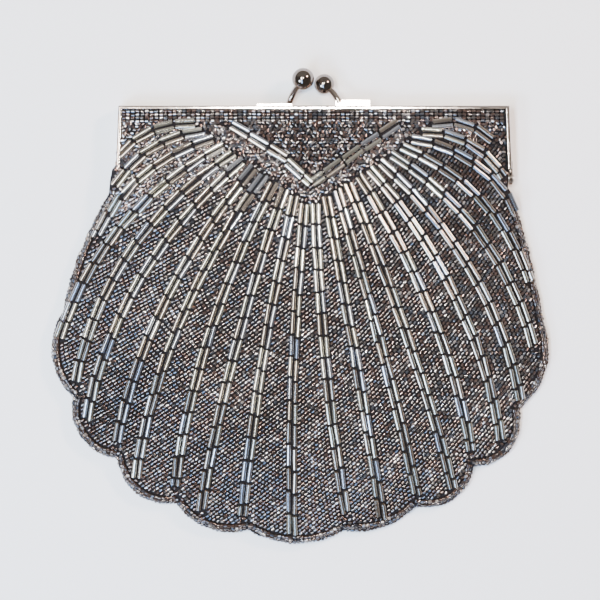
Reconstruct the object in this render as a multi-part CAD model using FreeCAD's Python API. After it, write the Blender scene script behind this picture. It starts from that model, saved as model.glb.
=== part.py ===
"""Beaded evening bag with a kiss-lock frame, lying on its back.

X runs across the bag, +Y towards the clasp and +Z out of the beaded front.
The origin is on the back face, and every length is in millimetres.
The back half of the frame and the pouch are one body. The front half of the
frame turns about the two rivets and carries the cloth that is held in it.
"""
import FreeCAD, Part
import math
import os
from FreeCAD import Vector

# ---------------------------------------------------------------- dimensions
# Metal frame: two channels that close on each other
FRAME_CENTRE_X = 5.2
FRAME_HALF_TOP = 70.4
FRAME_TOP_Y = 72.0
ARM_SPLAY = 0.04
ARM_END_Y = 49.2
CHANNEL_HEIGHT = 1.4
SHEET = 0.4
BACK_CHANNEL_Z = (0.2, 4.5)
FRONT_CHANNEL_Z = (4.7, 9.0)
OUTER_ROUND = 0.6
INNER_ROUND = 0.3
CORD_GAP = 0.05
CORD_WIDTH = 0.35

# Hinge rivets at the ends of the arms
HINGE_Y = 46.0
HINGE_Z = 4.6
EAR_RADIUS = 2.4
EAR_THICKNESS = 0.55
EAR_NECK_TOP_Y = 52.0
RIVET_RADIUS = 0.8
RIVET_HEAD_RADIUS = 1.5
RIVET_HEAD = 0.45
RUNNING_GAP = 0.05
END_CLEAR = 0.5

# Kiss-lock clasp
BACK_BALL = Vector(1.3, 81.6, 8.4)
BACK_BALL_RADIUS = 4.0
BACK_STEM_START = Vector(-3.9, 72.5, 2.5)
BACK_STEM_MIDDLE = Vector(-2.3, 76.6, 4.3)
BACK_FOOT = ((-15.3, FRAME_TOP_Y, 0.9), (-2.7, FRAME_TOP_Y + 1.0, 4.0))
FRONT_BALL = Vector(8.95, 80.1, 4.3)
FRONT_BALL_RADIUS = 3.65
FRONT_STEM_START = Vector(14.5, 73.1, 6.85)
FRONT_STEM_MIDDLE = Vector(12.7, 76.2, 6.35)
FRONT_FOOT = ((13.1, FRAME_TOP_Y, 6.2), (25.4, FRAME_TOP_Y + 2.1, 7.5))
STEM_RADIUS = 1.15
STEM_IN_BALL = 2.0

# Pouch outline: a circle of notches with a scallop between each two
POUCH_CENTRE = (0.0, 9.5)
NOTCH_RADIUS = 92.0
NOTCH_ANGLES = (-62.3, -45.6, -28.9, -11.7, 9.9, 27.2, 43.0, 59.3)
SCALLOP_DEPTHS = (5.2, 5.0, 3.6, 3.2, 2.2, 4.8, 5.7)
LEFT_SIDE = ((-68.9, 40.0), (-78.4, 21.0), (-85.4, -2.2), (-88.9, -20.0))
RIGHT_SIDE = ((76.9, 40.0), (83.6, 16.0), (88.5, -7.0), (88.2, -25.0))

# Layers, from the outside in, and the gap between two of them
BEAD_LAYER = 1.3
CLOTH = 0.5
INTERLINING = 0.6
LINING = 0.4
LAYER_GAP = 0.1
OVERLAP = 0.5
BUGLE_PROUD = 0.4

# Puffed front: part of a sphere, whose highest point is above the pouch
PUFF_X, PUFF_Y = 2.0, -6.0
PUFF_TOP_Z = 15.5
PUFF_RADIUS = 470.0

# Where the front folds when the frame opens
LOWER_TOP_Y = 40.0
UPPER_BOTTOM_Y = 52.0
FOLD_HALF_WIDTH = 68.4
FOLD_GAP = 0.3
SEAM_INSET = 3.0
GROOVE_INSET = 0.9

# Bugle rays: each one's end, and how far it bows to the right for its length
RAY_WIDTH = 4.0
RAY_FAN = ((-37.0, 65.0), (3.8, 36.0), (47.0, 64.5))
RAYS = (((-65.0, 53.5), -0.125), ((-66.5, 42.5), -0.12), ((-73.5, 24.0), -0.11), ((-86.6, -12.0), -0.1),
        ((-81.0, -29.5), -0.105), ((-77.1, -43.1), -0.089), ((-65.8, -49.2), -0.063), ((-59.0, -62.4), -0.06),
        ((-44.7, -64.8), -0.044), ((-35.7, -75.6), -0.022), ((-20.5, -75.6), -0.016), ((-2.5, -83.7), -0.016),
        ((17.0, -76.8), -0.017), ((30.0, -77.4), 0.003), ((42.3, -68.4), 0.009), ((55.3, -66.0), 0.018),
        ((61.8, -52.2), 0.05), ((72.6, -48.6), 0.07), ((79.6, -34.1), 0.08), ((84.5, -16.0), 0.098),
        ((83.0, 8.5), 0.11), ((78.0, 33.5), 0.124), ((73.5, 46.0), 0.137), ((69.5, 58.7), 0.15))
RAY_STEPS = 8

# Bugle chevron above the rays
CHEVRON = ((-25.5, 65.5), (-7.0, 53.9), (4.2, 43.5), (20.0, 54.6), (36.3, 65.9))
CHEVRON_WIDTH = 3.6
TOP_ROWS_BOTTOM_Y = 65.9


# ------------------------------------------------------------------- helpers
def box(low, high):
    """A box between two corners."""
    size = [b - a for a, b in zip(low, high)]
    return Part.makeBox(size[0], size[1], size[2], Vector(*low))


def slab(y_low, y_high):
    """All of the space between two values of Y, for cutting pieces at the fold."""
    return box((-150, y_low, -50), (150, y_high, 80))


def prism(points, z_low, z_high):
    """A straight-sided polygon, standing from z_low to z_high."""
    corners = [Vector(x, y, z_low) for x, y in points]
    face = Part.Face(Part.makePolygon(corners + corners[:1]))
    return face.extrude(Vector(0, 0, z_high - z_low))


def disc(radius, x_low, x_high):
    """A round plate on the hinge axis."""
    return Part.makeCylinder(radius, x_high - x_low, Vector(x_low, HINGE_Y, HINGE_Z), Vector(1, 0, 0))


def mirrored(shape):
    """The same shape at the other end of the frame."""
    return shape.mirror(Vector(FRAME_CENTRE_X, 0, 0), Vector(1, 0, 0))


def save(name, shape):
    """Write one node and say what it holds."""
    shape = shape.removeSplitter()
    solids = shape.Solids
    if not solids or not shape.isValid():
        raise SystemExit(f"{name}: not a valid solid")
    keep = solids[0] if len(solids) == 1 else Part.makeCompound(solids)
    keep.exportStep(f"parts/{name}.step")
    size = keep.BoundBox
    print(f"{name}: {len(solids)} solids, {keep.Volume:.0f} mm3, "
          f"{size.XLength:.1f} x {size.YLength:.1f} x {size.ZLength:.1f}")


# --------------------------------------------------------------- metal frame
def frame_band(inset, width, bottom_y, z_low, z_high):
    """A band that runs up one arm, along the top bar and down the other arm."""
    def point(depth, side, y):
        half = FRAME_HALF_TOP - depth + ARM_SPLAY * (FRAME_TOP_Y - y)
        return (FRAME_CENTRE_X + side * half, y)

    top = FRAME_TOP_Y
    deep = inset + width
    outer = [point(inset, -1, bottom_y), point(inset, -1, top - inset),
             point(inset, 1, top - inset), point(inset, 1, bottom_y)]
    inner = [point(deep, 1, bottom_y), point(deep, 1, top - deep),
             point(deep, -1, top - deep), point(deep, -1, bottom_y)]
    return prism(outer + inner, z_low, z_high)


def panel_in_frame(inset, z_low, z_high):
    """A flat piece that fills the frame down to where the front folds."""
    def half(y):
        return FRAME_HALF_TOP - inset + ARM_SPLAY * (FRAME_TOP_Y - y)

    top = FRAME_TOP_Y - inset
    bottom = UPPER_BOTTOM_Y
    points = [(FRAME_CENTRE_X - half(bottom), bottom), (FRAME_CENTRE_X - half(top), top),
              (FRAME_CENTRE_X + half(top), top), (FRAME_CENTRE_X + half(bottom), bottom)]
    return prism(points, z_low, z_high)


def face_edges(bar, face_z, outer):
    """The long edges on one face of a bar, along its outer or its inner side."""
    found = []
    for edge in bar.Edges:
        middle = edge.CenterOfMass
        from_side = FRAME_HALF_TOP + ARM_SPLAY * (FRAME_TOP_Y - middle.y) - abs(middle.x - FRAME_CENTRE_X)
        depth = min(from_side, FRAME_TOP_Y - middle.y)
        on_outer = depth < CHANNEL_HEIGHT / 2
        if edge.Length > CHANNEL_HEIGHT * 2 and abs(middle.z - face_z) < 0.001 and on_outer == outer:
            found.append(edge)
    return found


def frame_channel(z_range, face_z):
    """One half of the frame, a thin channel that is open towards the pouch and rounded on its face."""
    low, high = z_range
    bar = frame_band(0, CHANNEL_HEIGHT, ARM_END_Y, low, high)
    bar = bar.makeFillet(OUTER_ROUND, face_edges(bar, face_z, True))
    bar = bar.makeFillet(INNER_ROUND, face_edges(bar, face_z, False))
    groove = frame_band(SHEET, CHANNEL_HEIGHT, ARM_END_Y - 1, low + SHEET, high - SHEET)
    return bar.cut(groove)


def hinge_ear(x_low, hole_radius, neck_z):
    """The flat ear at the end of an arm, with its rivet hole."""
    x_high = x_low + EAR_THICKNESS
    neck = box((x_low, HINGE_Y, neck_z[0]), (x_high, EAR_NECK_TOP_Y, neck_z[1]))
    hole = disc(hole_radius, x_low - 1, x_high + 1)
    return disc(EAR_RADIUS, x_low, x_high).fuse(neck).cut(hole)


EAR_FACE_X = FRAME_CENTRE_X - FRAME_HALF_TOP - 0.7
FRONT_EAR_X = EAR_FACE_X - RUNNING_GAP / 2 - EAR_THICKNESS
BACK_EAR_X = EAR_FACE_X + RUNNING_GAP / 2


def make_frame():
    """Both channels with their ears, the rivets and the packing cords."""
    back_ear = hinge_ear(BACK_EAR_X, RIVET_RADIUS, (HINGE_Z - EAR_RADIUS, BACK_CHANNEL_Z[1] - 0.1))
    front_ear = hinge_ear(FRONT_EAR_X, RIVET_RADIUS + RUNNING_GAP,
                          (FRONT_CHANNEL_Z[0] + 0.1, HINGE_Z + EAR_RADIUS))
    back = frame_channel(BACK_CHANNEL_Z, BACK_CHANNEL_Z[0]).fuse([back_ear, mirrored(back_ear)])
    front = frame_channel(FRONT_CHANNEL_Z, FRONT_CHANNEL_Z[1]).fuse([front_ear, mirrored(front_ear)])
    save("back_frame_channel", back)
    save("front_frame_channel", front)

    outer_x = FRONT_EAR_X - RUNNING_GAP
    inner_x = BACK_EAR_X + EAR_THICKNESS
    rivet = disc(RIVET_RADIUS, outer_x - RIVET_HEAD, inner_x + RIVET_HEAD)
    rivet = rivet.fuse([disc(RIVET_HEAD_RADIUS, outer_x - RIVET_HEAD, outer_x),
                        disc(RIVET_HEAD_RADIUS, inner_x, inner_x + RIVET_HEAD)])
    save("left_hinge_rivet", rivet)
    save("right_hinge_rivet", mirrored(rivet))

    for half, z_range in (("back", BACK_CHANNEL_Z), ("front", FRONT_CHANNEL_Z)):
        low = z_range[0] + SHEET + LAYER_GAP
        high = z_range[1] - SHEET - LAYER_GAP
        cord = frame_band(SHEET + CORD_GAP, CORD_WIDTH, EAR_NECK_TOP_Y + END_CLEAR, low, high)
        save(f"{half}_channel_cord", cord)


# --------------------------------------------------------------------- clasp
def stem(start, middle, ball, radius):
    """A round stem that bows from its foot into its ball."""
    along = (ball - middle).normalize()
    end = ball - along * (radius - STEM_IN_BALL)
    path = Part.Wire([Part.Arc(start, middle, end).toShape()])
    tangent = path.Edges[0].tangentAt(path.Edges[0].FirstParameter)
    ring = Part.Wire([Part.Circle(start, tangent, STEM_RADIUS).toShape()])
    return path.makePipeShell([ring], True, True)


def make_clasp():
    """Each half has a foot on its bar, a bent stem and a ball pressed on it."""
    halves = (("back", BACK_FOOT, BACK_STEM_START, BACK_STEM_MIDDLE, BACK_BALL, BACK_BALL_RADIUS),
              ("front", FRONT_FOOT, FRONT_STEM_START, FRONT_STEM_MIDDLE, FRONT_BALL, FRONT_BALL_RADIUS))
    for half, foot, start, middle, ball, radius in halves:
        bent_stem = stem(start, middle, ball, radius)
        save(f"{half}_clasp_base", box(*foot).fuse(bent_stem))
        save(f"{half}_clasp_ball", Part.makeSphere(radius, ball).cut(bent_stem))


# --------------------------------------------------------------------- pouch
def polar(angle, radius):
    """A point of the pouch, by its angle from straight down and its radius."""
    turn = math.radians(angle)
    return (POUCH_CENTRE[0] + radius * math.sin(turn), POUCH_CENTRE[1] - radius * math.cos(turn))


def arc(a, b, c, z):
    """The arc from a through b to c, at one height."""
    return Part.Arc(Vector(*a, z), Vector(*b, z), Vector(*c, z)).toShape()


def pouch_prism(z_low, z_high, inset=0.0):
    """The pouch below the fold. With an inset it is a smooth shape without scallops."""
    left = [(x + inset, y) for x, y in LEFT_SIDE]
    right = [(x - inset, y) for x, y in RIGHT_SIDE]
    notches = [polar(a, NOTCH_RADIUS - inset) for a in NOTCH_ANGLES]
    edges = [arc(left[0], left[1], left[2], z_low), arc(left[2], left[3], notches[0], z_low)]
    if inset:
        middle = 0.5 * (NOTCH_ANGLES[0] + NOTCH_ANGLES[-1])
        edges.append(arc(notches[0], polar(middle, NOTCH_RADIUS - inset), notches[-1], z_low))
    else:
        for k, depth in enumerate(SCALLOP_DEPTHS):
            middle = 0.5 * (NOTCH_ANGLES[k] + NOTCH_ANGLES[k + 1])
            edges.append(arc(notches[k], polar(middle, NOTCH_RADIUS + depth), notches[k + 1], z_low))
    edges.append(arc(notches[-1], right[3], right[2], z_low))
    edges.append(arc(right[2], right[1], right[0], z_low))
    edges.append(Part.makeLine(Vector(*right[0], z_low), Vector(*left[0], z_low)))
    return Part.Face(Part.Wire(edges)).extrude(Vector(0, 0, z_high - z_low))


def puff(depth):
    """The ball whose top is the puffed front, taken in by depth."""
    centre = Vector(PUFF_X, PUFF_Y, PUFF_TOP_Z - PUFF_RADIUS)
    return Part.makeSphere(PUFF_RADIUS - depth, centre)


def puffed_layer(prism_shape, depth, thickness):
    """The part of a prism that lies between two depths under the puffed front."""
    return prism_shape.common(puff(depth)).cut(puff(depth + thickness))


def fold_layer(depth, thickness, frame_z):
    """The stretch of a layer that folds: it slopes from the pouch up to the frame."""
    reach = LOWER_TOP_Y - PUFF_Y
    low_z = PUFF_TOP_Z - PUFF_RADIUS + math.sqrt(PUFF_RADIUS ** 2 - reach ** 2) - depth
    y_low = LOWER_TOP_Y + LAYER_GAP
    y_high = UPPER_BOTTOM_Y - FOLD_GAP
    corners = [Vector(0, y_low, low_z), Vector(0, y_high, frame_z),
               Vector(0, y_high, frame_z - thickness), Vector(0, y_low, low_z - thickness)]
    face = Part.Face(Part.makePolygon(corners + corners[:1]))
    face.translate(Vector(FRAME_CENTRE_X - FOLD_HALF_WIDTH, 0, 0))
    return face.extrude(Vector(2 * FOLD_HALF_WIDTH, 0, 0))


def ray_points(start, end, bow):
    """Points along one ray, which bows furthest at its middle."""
    sx, sy = start
    ex, ey = end
    points = []
    for step in range(RAY_STEPS + 1):
        t = step / RAY_STEPS
        push = bow * 4 * t * (1 - t)
        points.append((sx + (ex - sx) * t + push * (sy - ey), sy + (ey - sy) * t - push * (sx - ex)))
    return points


def strip_prism(points, width):
    """A strip of even width along some points, as a tall prism."""
    left, right = [], []
    for k, (x, y) in enumerate(points):
        ax, ay = points[max(k - 1, 0)]
        bx, by = points[min(k + 1, len(points) - 1)]
        length = math.hypot(bx - ax, by - ay)
        nx, ny = (ay - by) / length, (bx - ax) / length
        left.append((x + nx * width / 2, y + ny * width / 2))
        right.append((x - nx * width / 2, y - ny * width / 2))
    return prism(left + right[::-1], -5, 40)


def fan_point(t):
    """A point of the V that the rays start from, t from 0 at the left to 1."""
    a, b, c = RAY_FAN
    if t < 0.5:
        return tuple(p + (q - p) * t * 2 for p, q in zip(a, b))
    return tuple(p + (q - p) * (t * 2 - 1) for p, q in zip(b, c))


def ray_prisms():
    """All of the rays, as tall strips that the layers are cut from."""
    strips = []
    for k, (end, bow) in enumerate(RAYS):
        points = ray_points(fan_point(k / (len(RAYS) - 1)), end, bow)
        strips.append(strip_prism(points, RAY_WIDTH))
    return strips[0].fuse(strips[1:])


def make_front(rays):
    """The beaded front: below the fold, at the fold, and in the frame."""
    pouch = pouch_prism(0, 30)
    inner = pouch_prism(0, 30, SEAM_INSET)
    below = slab(-200, LOWER_TOP_Y)
    rays_below = rays.common(below)
    beads = puffed_layer(pouch, 0, BEAD_LAYER)
    bugles = puffed_layer(pouch.common(rays_below), -BUGLE_PROUD, BEAD_LAYER + BUGLE_PROUD)
    save("seed_beads_lower", beads.cut(rays_below))
    save("bugle_rays_lower", bugles)

    depth = BEAD_LAYER + LAYER_GAP
    save("front_cloth_lower", puffed_layer(pouch, depth, CLOTH))
    depth += CLOTH + LAYER_GAP
    save("front_interlining_lower", puffed_layer(inner, depth, INTERLINING))
    depth += INTERLINING + LAYER_GAP
    save("front_lining_lower", puffed_layer(inner, depth, LINING))

    top = FRONT_CHANNEL_Z[1] - SHEET - LAYER_GAP
    bottom = FRONT_CHANNEL_Z[0] + SHEET + LAYER_GAP
    face_z = top - BEAD_LAYER
    cloth_z = face_z - LAYER_GAP
    stiff_z = cloth_z - CLOTH - LAYER_GAP
    field = panel_in_frame(CHANNEL_HEIGHT + LAYER_GAP, face_z, top)
    chevron = strip_prism(CHEVRON, CHEVRON_WIDTH).common(slab(UPPER_BOTTOM_Y, FRAME_TOP_Y))
    rows = box((-100, TOP_ROWS_BOTTOM_Y, face_z), (100, FRAME_TOP_Y, top)).common(field)
    rays_above = rays.common(slab(UPPER_BOTTOM_Y, TOP_ROWS_BOTTOM_Y)).cut(chevron)
    proud = panel_in_frame(CHANNEL_HEIGHT + LAYER_GAP, face_z, top + BUGLE_PROUD)
    chevron = chevron.common(slab(UPPER_BOTTOM_Y, TOP_ROWS_BOTTOM_Y))
    save("top_seed_rows", rows)
    save("chevron_bugles", chevron.common(proud))
    save("bugle_rays_upper", rays_above.common(proud))
    save("seed_beads_upper", field.cut(rows).cut(rays_above).cut(chevron))
    save("front_cloth_upper", panel_in_frame(GROOVE_INSET, cloth_z - CLOTH, cloth_z))
    save("front_interlining_upper", panel_in_frame(GROOVE_INSET, stiff_z - INTERLINING, stiff_z))
    save("front_lining_upper", panel_in_frame(GROOVE_INSET, bottom, bottom + LINING))

    fold = slab(LOWER_TOP_Y, UPPER_BOTTOM_Y)
    fold_rays = rays.fuse(strip_prism(CHEVRON, CHEVRON_WIDTH)).common(fold)
    fold_beads = fold_layer(0, BEAD_LAYER, top)
    save("seed_beads_fold", fold_beads.cut(fold_rays))
    save("bugle_rays_fold", fold_beads.common(fold_rays))
    save("front_cloth_fold", fold_layer(BEAD_LAYER + LAYER_GAP, CLOTH, cloth_z))
    save("front_lining_fold", fold_layer(depth, LINING, bottom + LINING))
    return depth + LINING


def make_back(inside_depth):
    """The flat beaded back, its linings, and the seam that joins it to the front."""
    clear = CHANNEL_HEIGHT + LAYER_GAP
    levels = []
    z = 0.0
    for thickness in (BEAD_LAYER, CLOTH, INTERLINING, LINING):
        levels.append((z, z + thickness))
        z += thickness + LAYER_GAP

    def back_layer(level, inset, frame_inset):
        low, high = level
        throat = box((FRAME_CENTRE_X - FOLD_HALF_WIDTH, LOWER_TOP_Y - OVERLAP, low),
                     (FRAME_CENTRE_X + FOLD_HALF_WIDTH, UPPER_BOTTOM_Y + OVERLAP, high))
        upper = panel_in_frame(frame_inset, low, high)
        return pouch_prism(low, high, inset).fuse([throat, upper])

    save("back_seed_beads", back_layer(levels[0], 0, clear))
    save("back_cloth", back_layer(levels[1], 0, GROOVE_INSET))
    save("back_interlining", back_layer(levels[2], SEAM_INSET, GROOVE_INSET))
    save("back_lining", back_layer(levels[3], SEAM_INSET, GROOVE_INSET))

    seam_low = levels[1][1] + LAYER_GAP
    ring = pouch_prism(seam_low, 30).cut(pouch_prism(0, 31, SEAM_INSET - LAYER_GAP))
    ring = ring.common(slab(-200, LOWER_TOP_Y - LAYER_GAP))
    save("edge_seam", ring.common(puff(BEAD_LAYER + CLOTH + 2 * LAYER_GAP)))
    print(f"inside height {PUFF_TOP_Z - inside_depth - levels[3][1]:.1f} at the middle")


os.makedirs("parts", exist_ok=True)
make_frame()
make_clasp()
inside = make_front(ray_prisms())
make_back(inside)
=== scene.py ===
# %% [markdown]
# # A beaded evening bag with a kiss-lock frame
#
# The bag lies on its back. Its metal frame, rivets and clasp come from the CAD frame and
# only get better finishes here. Everything soft is made in Blender: the puffed cloth, the
# linings, and the thousands of glass beads that are sewn on it.

# %% Load the frame
import math
import random
import bmesh
import bpy
import numpy as np
from mathutils import Matrix, Vector, noise
from mathutils.bvhtree import BVHTree


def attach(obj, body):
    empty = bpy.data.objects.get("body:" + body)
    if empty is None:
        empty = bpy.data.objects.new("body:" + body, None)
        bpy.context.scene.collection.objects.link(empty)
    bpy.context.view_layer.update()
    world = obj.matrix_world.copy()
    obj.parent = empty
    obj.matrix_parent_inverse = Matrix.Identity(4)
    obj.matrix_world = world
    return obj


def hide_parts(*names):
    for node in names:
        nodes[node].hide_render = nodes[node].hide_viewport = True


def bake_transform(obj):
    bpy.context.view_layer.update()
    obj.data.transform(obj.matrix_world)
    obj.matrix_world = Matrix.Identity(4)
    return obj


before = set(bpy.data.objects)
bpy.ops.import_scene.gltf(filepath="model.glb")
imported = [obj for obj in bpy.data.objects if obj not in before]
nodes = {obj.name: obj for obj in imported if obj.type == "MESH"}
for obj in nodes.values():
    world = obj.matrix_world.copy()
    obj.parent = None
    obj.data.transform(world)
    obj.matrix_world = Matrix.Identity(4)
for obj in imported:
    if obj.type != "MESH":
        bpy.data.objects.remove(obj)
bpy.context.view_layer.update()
MM = 0.001
chance = random.Random(7)

# %% [markdown]
# ## Camera, floor and light
#
# Bright beads only look like glass when they have something to mirror. Two long narrow
# windows, one warm and one blue, give each bugle its streak. A small hard lamp is mirrored
# by the middle of the frame, and two side lamps colour the beads that face left and right.

# %% Camera
VIEW_WIDTH = 0.2166
CAMERA_HEIGHT = 0.9
VIEW_CENTRE = (0.0002, 0.002)
BEAD_HEIGHT = 0.006
camera_data = bpy.data.cameras.new("camera")
camera = bpy.data.objects.new("camera", camera_data)
camera.location = (*VIEW_CENTRE, CAMERA_HEIGHT)
camera_data.lens = camera_data.sensor_width * (CAMERA_HEIGHT - BEAD_HEIGHT) / VIEW_WIDTH
bpy.context.scene.collection.objects.link(camera)
bpy.context.scene.camera = camera
print("lens", round(camera_data.lens, 1), "mm")


# %% Lamps
def lamp(name, place, size, power, colour, length=None, aim=(0, 0, 0)):
    """A rectangular soft box that points at the bag, or at aim."""
    data = bpy.data.lights.new(name, "AREA")
    data.shape = "RECTANGLE"
    data.size = size
    data.size_y = length or size
    data.energy = power
    data.color = colour
    thing = bpy.data.objects.new(name, data)
    thing.location = place
    thing.rotation_euler = (Vector(aim) - Vector(place)).to_track_quat("-Z", "Y").to_euler()
    bpy.context.scene.collection.objects.link(thing)


lamp("long_window", (-0.33, 0.10, 1.15), 0.20, 18.0, (1.0, 0.97, 0.92), 0.46, (-0.33, 0.10, 0))
lamp("blue_window", (-0.33, -0.75, 1.15), 0.20, 24.0, (0.30, 0.54, 1.0), 1.2, (-0.33, -0.75, 0))
lamp("bar_lamp", (0.012, 0.134, 1.15), 0.13, 12.0, (1.0, 0.95, 0.90), 0.05, (0.012, 0.134, 0))
lamp("warm_side", (0.62, 0.42, 0.62), 0.14, 10.0, (1.0, 0.66, 0.52))
lamp("cool_window", (-0.62, -0.40, 0.8), 0.26, 12.0, (0.66, 0.80, 1.0))


# %% The room: a pale wall beyond the clasp and a dark room behind the camera
WALL_BAND = (0.22, 0.42)
DARK_ROOM = (0.20, 0.184, 0.168, 1)
PALE_WALL = (0.50, 0.47, 0.43, 1)


def make_room():
    world = bpy.data.worlds.new("room")
    world.use_nodes = True
    tree = world.node_tree
    place = tree.nodes.new("ShaderNodeTexCoord")
    split = tree.nodes.new("ShaderNodeSeparateXYZ")
    towards_wall = tree.nodes.new("ShaderNodeMapRange")
    towards_wall.interpolation_type = "SMOOTHSTEP"
    for label, value in zip(("From Min", "From Max"), WALL_BAND):
        towards_wall.inputs[label].default_value = value
    mix = tree.nodes.new("ShaderNodeMix")
    mix.data_type = "RGBA"
    mix.inputs[6].default_value = DARK_ROOM
    mix.inputs[7].default_value = PALE_WALL
    tree.links.new(place.outputs["Generated"], split.inputs[0])
    tree.links.new(split.outputs[1], towards_wall.inputs["Value"])
    tree.links.new(towards_wall.outputs[0], mix.inputs[0])
    tree.links.new(mix.outputs[2], tree.nodes["Background"].inputs["Color"])
    return world


bpy.context.scene.world = make_room()


# %% [markdown]
# ## Finishes
#
# Three effects are shared by several finishes, so each is a node group: fine scratches for
# the plated metal, a woven surface for the cloths, and a tint for beads. Each bead carries
# its own number, called tint, as an attribute, so no two neighbours look quite the same.

# %% Node group helpers
def new_group(name, inputs, outputs):
    """A shader node group with named sockets, given as (name, kind, value)."""
    tree = bpy.data.node_groups.new(name, "ShaderNodeTree")
    for label, kind, value in inputs:
        socket = tree.interface.new_socket(label, in_out="INPUT", socket_type=kind)
        if value is not None:
            socket.default_value = value
    for label, kind in outputs:
        tree.interface.new_socket(label, in_out="OUTPUT", socket_type=kind)
    return tree, tree.nodes.new("NodeGroupInput"), tree.nodes.new("NodeGroupOutput")


def math_node(tree, operation, a, b=None, c=None):
    """A Math node whose inputs are sockets or numbers."""
    node = tree.nodes.new("ShaderNodeMath")
    node.operation = operation
    for socket, value in zip(node.inputs, (a, b, c)):
        if isinstance(value, (int, float)):
            socket.default_value = value
        elif value is not None:
            tree.links.new(value, socket)
    return node.outputs[0]


def mix_colour(tree, factor, a, b, blend="MIX"):
    """A colour Mix node whose inputs are sockets, numbers or colours."""
    node = tree.nodes.new("ShaderNodeMix")
    node.data_type = "RGBA"
    node.blend_type = blend
    for socket, value in zip((node.inputs[0], node.inputs[6], node.inputs[7]), (factor, a, b)):
        if isinstance(value, (int, float, tuple)):
            socket.default_value = value
        else:
            tree.links.new(value, socket)
    return node.outputs[2]


# %% Fine scratches, for plated metal
def make_scratches():
    tree, come, go = new_group(
        "fine_scratches",
        [("Scale", "NodeSocketFloat", 900.0), ("Low", "NodeSocketFloat", 0.12),
         ("High", "NodeSocketFloat", 0.3),
         ("Clean", "NodeSocketColor", (0.7, 0.7, 0.7, 1)), ("Worn", "NodeSocketColor", (0.5, 0.45, 0.4, 1))],
        [("Colour", "NodeSocketColor"), ("Roughness", "NodeSocketFloat"), ("Height", "NodeSocketFloat")])
    place = tree.nodes.new("ShaderNodeTexCoord")
    stretch = tree.nodes.new("ShaderNodeMapping")
    stretch.inputs["Scale"].default_value = (0.12, 1.0, 1.0)
    fine = tree.nodes.new("ShaderNodeTexNoise")
    broad = tree.nodes.new("ShaderNodeTexNoise")
    broad.inputs["Scale"].default_value = 160.0
    broad.inputs["Detail"].default_value = 4.0
    tree.links.new(place.outputs["Object"], stretch.inputs["Vector"])
    tree.links.new(stretch.outputs[0], fine.inputs["Vector"])
    tree.links.new(place.outputs["Object"], broad.inputs["Vector"])
    tree.links.new(come.outputs["Scale"], fine.inputs["Scale"])
    both = math_node(tree, "MULTIPLY", fine.outputs["Fac"], broad.outputs["Fac"])
    lift = tree.nodes.new("ShaderNodeMapRange")
    tree.links.new(both, lift.inputs["Value"])
    lift.inputs["From Min"].default_value = 0.1
    lift.inputs["From Max"].default_value = 0.45
    tree.links.new(come.outputs["Low"], lift.inputs["To Min"])
    tree.links.new(come.outputs["High"], lift.inputs["To Max"])
    tree.links.new(lift.outputs[0], go.inputs["Roughness"])
    tree.links.new(fine.outputs["Fac"], go.inputs["Height"])
    wear = tree.nodes.new("ShaderNodeMapRange")
    tree.links.new(broad.outputs["Fac"], wear.inputs["Value"])
    wear.inputs["From Min"].default_value = 0.5
    wear.inputs["From Max"].default_value = 0.75
    colour = mix_colour(tree, wear.outputs[0], come.outputs["Clean"], come.outputs["Worn"])
    tree.links.new(colour, go.inputs["Colour"])
    return tree


scratches = make_scratches()


# %% Weave, for the cloths
def make_weave():
    tree, come, go = new_group(
        "weave",
        [("Threads", "NodeSocketFloat", 3000.0), ("Light", "NodeSocketColor", (0.5, 0.5, 0.5, 1)),
         ("Dark", "NodeSocketColor", (0.2, 0.2, 0.2, 1))],
        [("Colour", "NodeSocketColor"), ("Height", "NodeSocketFloat")])
    place = tree.nodes.new("ShaderNodeTexCoord")
    split = tree.nodes.new("ShaderNodeSeparateXYZ")
    tree.links.new(place.outputs["Object"], split.inputs[0])
    turns = [math_node(tree, "MULTIPLY", split.outputs[axis], come.outputs["Threads"]) for axis in (0, 1)]
    waves = [math_node(tree, "SINE", turn) for turn in turns]
    grid = math_node(tree, "MULTIPLY", waves[0], waves[1])
    uneven = tree.nodes.new("ShaderNodeTexNoise")
    uneven.inputs["Scale"].default_value = 260.0
    tree.links.new(place.outputs["Object"], uneven.inputs["Vector"])
    height = math_node(tree, "MULTIPLY_ADD", grid, 0.5, 0.5)
    height_noise = math_node(tree, "ADD", height, uneven.outputs["Fac"])
    tree.links.new(height_noise, go.inputs["Height"])
    factor = tree.nodes.new("ShaderNodeMapRange")
    tree.links.new(height_noise, factor.inputs["Value"])
    factor.inputs["From Max"].default_value = 1.2
    tree.links.new(mix_colour(tree, factor.outputs[0], come.outputs["Dark"], come.outputs["Light"]),
                   go.inputs["Colour"])
    return tree


weave = make_weave()


# %% Bead tint, for every kind of bead
BROWN_BELOW, BLUE_ABOVE, PALE_ABOVE = 0.34, 0.72, 0.9
LEAST_ROUGHNESS, ROUGHNESS_SPREAD = 0.07, 0.14


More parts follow.
